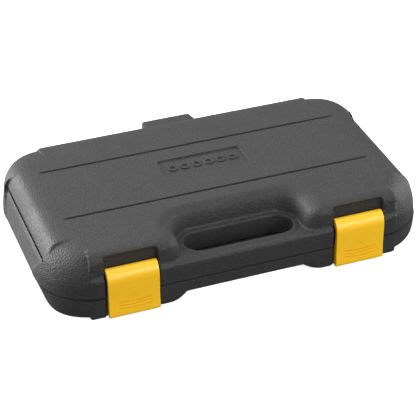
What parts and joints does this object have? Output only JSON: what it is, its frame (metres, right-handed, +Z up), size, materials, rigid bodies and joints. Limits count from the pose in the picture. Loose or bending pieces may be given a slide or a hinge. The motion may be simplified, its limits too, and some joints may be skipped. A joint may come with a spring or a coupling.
{
  "type": "socket wrench set in carrying case",
  "caption": "Moulded carrying case with a finger slot, two hinged latches and a hinged lid over a tray of sockets, ratchet, extensions and universal joint.",
  "frame": {"origin": "middle of the outline at the surface that the case rests on", "axes": "+X to the right along the handle, +Y from the handle towards the hinge, +Z up"},
  "size_m": [0.363, 0.222, 0.063],
  "materials": {
    "case": "moulded polyethylene with a fine grain",
    "latch": "smooth moulded polypropylene",
    "lining": "blow-moulded inner skin",
    "tool_steel": "satin chrome plate on chrome vanadium steel",
    "dark_steel": "machined and oiled steel",
    "pin_steel": "drawn steel wire and balls",
    "grip": "moulded soft grip",
    "insert": "moulded rubber sleeve"
  },
  "bodies": {
    "base": {"base_shell": "case", "tool_tray": "lining", "hinge_pins": "pin_steel", "ratchet_handle": "tool_steel", "ratchet_grip": "grip", "ratchet_cover": "dark_steel", "cover_screws": "dark_steel", "ratchet_pawl": "dark_steel", "pawl_spring": "pin_steel", "long_extension": "tool_steel", "short_extension": "tool_steel", "extension_balls": "pin_steel", "joint_drive_fork": "tool_steel", "joint_ball": "pin_steel", "plug_socket_16": "tool_steel", "plug_socket_21": "tool_steel", "plug_insert_16": "insert", "plug_insert_21": "insert", "socket_8": "tool_steel", "socket_9": "tool_steel", "socket_10": "tool_steel", "socket_11": "tool_steel", "socket_12": "tool_steel", "socket_13": "tool_steel", "socket_14": "tool_steel", "socket_15": "tool_steel", "socket_16": "tool_steel", "socket_17": "tool_steel", "socket_18": "tool_steel", "socket_19": "tool_steel", "socket_21": "tool_steel", "socket_22": "tool_steel", "socket_24": "tool_steel", "socket_27": "tool_steel", "socket_30": "tool_steel", "socket_32": "tool_steel"},
    "lid": {"lid_shell": "case", "lid_liner": "lining", "latch_pins": "pin_steel"},
    "left_latch": {"left_latch": "latch"},
    "right_latch": {"right_latch": "latch"},
    "ratchet_drive": {"ratchet_gear": "dark_steel", "ratchet_ball": "pin_steel"},
    "lever": {"direction_lever": "dark_steel"},
    "button": {"release_button": "tool_steel"},
    "joint_cross": {"joint_cross": "dark_steel"},
    "joint_socket": {"joint_socket_fork": "tool_steel"}
  },
  "joints": [
    {"name": "lid_hinge", "type": "hinge", "parent": "base", "child": "lid", "pos_m": [0, 0.098, 0.0232], "axis": [-1, 0, 0], "range_deg": [0, 105]},
    {"name": "left_latch_hinge", "type": "hinge", "parent": "lid", "child": "left_latch", "pos_m": [-0.1052, -0.1012, 0.0456], "axis": [-1, 0, 0], "range_deg": [0, 100]},
    {"name": "right_latch_hinge", "type": "hinge", "parent": "lid", "child": "right_latch", "pos_m": [0.1052, -0.1012, 0.0456], "axis": [-1, 0, 0], "range_deg": [0, 100]},
    {"name": "drive_spin", "type": "hinge", "parent": "base", "child": "ratchet_drive", "pos_m": [-0.14, -0.039, 0.025], "axis": [0, 0, 1], "continuous": true},
    {"name": "lever_swing", "type": "hinge", "parent": "base", "child": "lever", "pos_m": [-0.14, -0.039, 0.037], "axis": [0, 0, 1], "range_deg": [-20, 20]},
    {"name": "button_press", "type": "slide", "parent": "base", "child": "button", "axis": [0, 0, -1], "range_m": [0, 0.0018], "stiffness_N_per_m": 300, "springref_m": -0.002},
    {"name": "joint_yaw", "type": "hinge", "parent": "base", "child": "joint_cross", "pos_m": [-0.112, -0.0735, 0.022], "axis": [0, 0, 1], "range_deg": [-6, 6]},
    {"name": "joint_fold", "type": "hinge", "parent": "joint_cross", "child": "joint_socket", "pos_m": [-0.112, -0.0735, 0.022], "axis": [0, -1, 0], "range_deg": [0, 35]}
  ]
}
